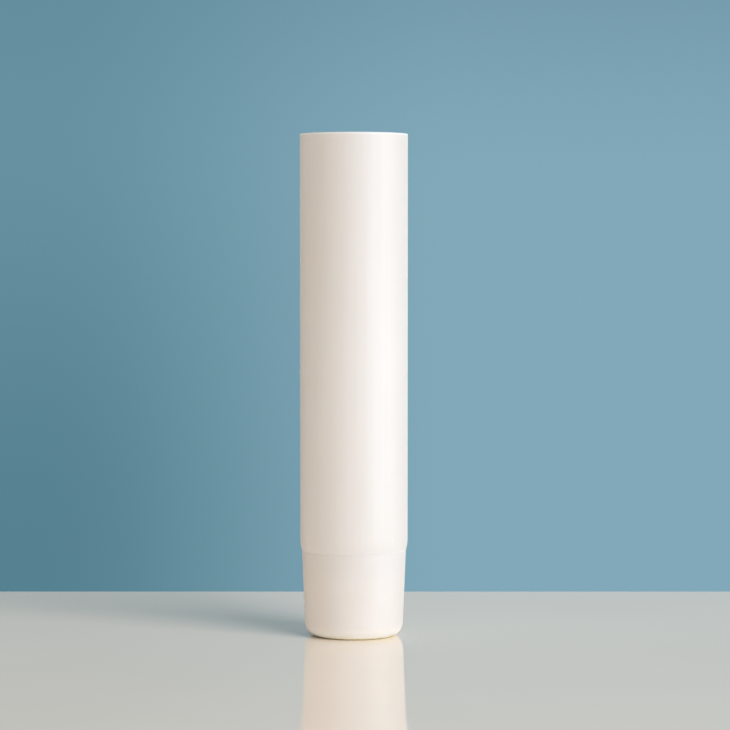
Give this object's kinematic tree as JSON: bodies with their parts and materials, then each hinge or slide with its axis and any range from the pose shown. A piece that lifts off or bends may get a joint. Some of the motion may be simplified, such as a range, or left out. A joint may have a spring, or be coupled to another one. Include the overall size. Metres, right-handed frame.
{
  "type": "massage roller tube",
  "caption": "Tall plain squeeze tube, open and unfilled at its top end, standing on a tapered pull-off cap that covers a crowned roller head with steel balls, ball seat and outlet.",
  "frame": {"origin": "centre of the cap's flat foot, on the surface that the tube stands on", "axes": "+Z along the tube's axis, from the cap's foot to the sleeve's open end; +X to the right and -Y towards the viewer; the first roller ball lies on the -Y side"},
  "size_m": [0.035, 0.035, 0.1631],
  "materials": {
    "sleeve": "satin extruded polyethylene, cream white",
    "cap": "satin moulded polypropylene, cream white",
    "liner": "moulded soft polyethylene, natural white",
    "shoulder": "moulded polyethylene, cream white",
    "head": "glossy moulded polypropylene, cream white",
    "seat": "moulded acetal, natural white",
    "gasket": "foamed elastomer, grey",
    "ball": "polished stainless steel"
  },
  "bodies": {
    "cap": {"cap_shell": "cap", "cap_liner": "liner"},
    "tube": {"tube_sleeve": "sleeve", "tube_shoulder": "shoulder", "neck_gasket": "gasket", "ball_seat": "seat", "head_cover": "head"},
    "roller_1": {"roller_ball_1": "ball"},
    "roller_2": {"roller_ball_2": "ball"},
    "roller_3": {"roller_ball_3": "ball"}
  },
  "joints": [
    {"name": "cap_pull", "type": "slide", "parent": "cap", "child": "tube", "axis": [0, 0, 1], "range_m": [0, 0.03]},
    {"name": "roller_1_roll", "type": "hinge", "parent": "tube", "child": "roller_1", "pos_m": [0, -0.00696, 0.0088], "axis": [1, 0, 0], "continuous": true},
    {"name": "roller_2_roll", "type": "hinge", "parent": "tube", "child": "roller_2", "pos_m": [0.00602, 0.00348, 0.0088], "axis": [1, 0, 0], "continuous": true},
    {"name": "roller_3_roll", "type": "hinge", "parent": "tube", "child": "roller_3", "pos_m": [-0.00602, 0.00348, 0.0088], "axis": [1, 0, 0], "continuous": true}
  ]
}
